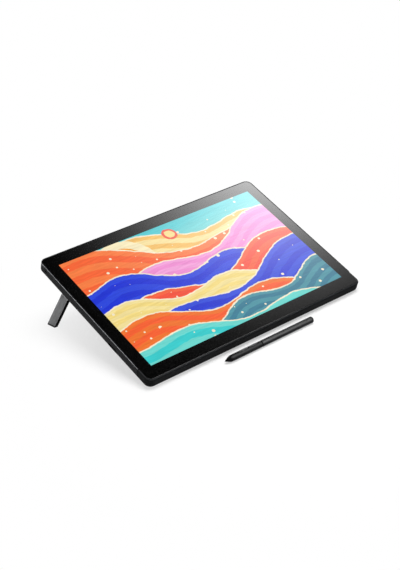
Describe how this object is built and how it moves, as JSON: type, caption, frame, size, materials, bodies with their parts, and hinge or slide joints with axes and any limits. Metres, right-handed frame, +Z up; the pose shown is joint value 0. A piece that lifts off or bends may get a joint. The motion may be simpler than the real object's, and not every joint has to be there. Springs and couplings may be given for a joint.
{
  "type": "graphics tablet with screen",
  "caption": "Flat pen display with a black glass front, tilted on splayed fold-out legs, with a slim pen lying in front.",
  "frame": {"origin": "middle of the front foot's slanted face, on the desk", "axes": "+X to the user's right, +Y away from the user, +Z up from the desk"},
  "size_m": [0.3886, 0.2701, 0.0982],
  "materials": {
    "etched_glass": "etched, with a black printed border",
    "black_tape": "foam tape",
    "clear_adhesive": "clear",
    "panel_glass": "polarised",
    "white_film": "satin film",
    "clear_acrylic": "polished",
    "lamp_strip": "populated strip",
    "plated_steel": "nickel plated",
    "circuit_board": "solder mask",
    "sheet_aluminium": "rolled sheet",
    "housing_plastic": "fine moulded texture",
    "trim_plastic": "fine moulded texture",
    "cover_plastic": "moulded texture",
    "well_plastic": "moulded texture",
    "ribbon_film": "polyimide film",
    "key_plastic": "satin",
    "foot_rubber": "matt",
    "screw_steel": "black oxide",
    "spring_steel": "ground",
    "leg_paint": "fine matt paint",
    "nib_plastic": "felt-like plastic",
    "pen_soft_touch": "soft-touch coat",
    "pen_shell": "satin",
    "pen_keys": "satin",
    "ferrite": "sintered",
    "copper_wire": "enamelled wire"
  },
  "bodies": {
    "tablet": {"cover_glass": "etched_glass", "glass_tape": "black_tape", "bonding_layer": "clear_adhesive", "lcd_panel": "panel_glass", "diffuser_films": "white_film", "light_guide": "clear_acrylic", "reflector_sheet": "white_film", "led_strip": "lamp_strip", "backlight_tray": "plated_steel", "pen_sensor_board": "circuit_board", "shield_plate": "sheet_aluminium", "chassis_plate": "sheet_aluminium", "housing_frame": "housing_plastic", "front_trim": "trim_plastic", "back_cover": "cover_plastic", "main_board": "circuit_board", "usb_socket": "plated_steel", "display_ribbon": "ribbon_film", "sensor_ribbon": "ribbon_film", "power_switch": "plated_steel", "button_board": "circuit_board", "lock_plate": "plated_steel", "front_foot": "foot_rubber", "rear_pads": "foot_rubber", "cover_screws": "screw_steel", "chassis_screws": "screw_steel", "board_screws": "screw_steel", "well_screws": "screw_steel", "leg_well_left": "well_plastic", "leg_well_right": "well_plastic", "hinge_pin_left": "spring_steel", "hinge_pin_right": "spring_steel", "friction_spring_left": "spring_steel", "friction_spring_right": "spring_steel"},
    "left_leg": {"leg_left": "leg_paint", "leg_tip_left": "foot_rubber"},
    "right_leg": {"leg_right": "leg_paint", "leg_tip_right": "foot_rubber"},
    "power_key": {"power_button": "key_plastic"},
    "pen": {"pen_grip": "pen_soft_touch", "pen_barrel": "pen_shell", "pen_end_cap": "pen_keys", "pen_ferrite_core": "ferrite", "pen_coil": "copper_wire", "pen_force_sensor": "plated_steel", "pen_circuit_board": "circuit_board", "pen_switch_contacts": "plated_steel"},
    "pen_front_key": {"pen_switch_front": "pen_keys"},
    "pen_rear_key": {"pen_switch_rear": "pen_keys"},
    "nib": {"pen_nib": "nib_plastic"}
  },
  "joints": [
    {"name": "left_leg_fold", "type": "hinge", "parent": "tablet", "child": "left_leg", "pos_m": [-0.1618, 0.19034, 0.07075], "axis": [0, -0.9455, -0.3256], "range_deg": [0, 111]},
    {"name": "right_leg_fold", "type": "hinge", "parent": "tablet", "child": "right_leg", "pos_m": [0.1618, 0.19034, 0.07075], "axis": [0, 0.9455, 0.3256], "range_deg": [0, 111]},
    {"name": "power_press", "type": "slide", "parent": "tablet", "child": "power_key", "axis": [0, -0.9455, -0.3256], "range_m": [0, 0.0004], "stiffness_N_per_m": 800, "springref_m": -0.001},
    {"name": "pen_lift", "type": "slide", "parent": "tablet", "child": "pen", "axis": [0, 0, 1], "range_m": [0, 0.1]},
    {"name": "pen_front_press", "type": "slide", "parent": "pen", "child": "pen_front_key", "axis": [0, 0, -1], "range_m": [0, 0.0003], "stiffness_N_per_m": 600, "springref_m": -0.001},
    {"name": "pen_rear_press", "type": "slide", "parent": "pen", "child": "pen_rear_key", "axis": [0, 0, -1], "range_m": [0, 0.0003], "stiffness_N_per_m": 600, "springref_m": -0.001},
    {"name": "nib_press", "type": "slide", "parent": "pen", "child": "nib", "axis": [1, 0, 0], "range_m": [0, 0.0003], "stiffness_N_per_m": 500, "springref_m": -0.001}
  ]
}
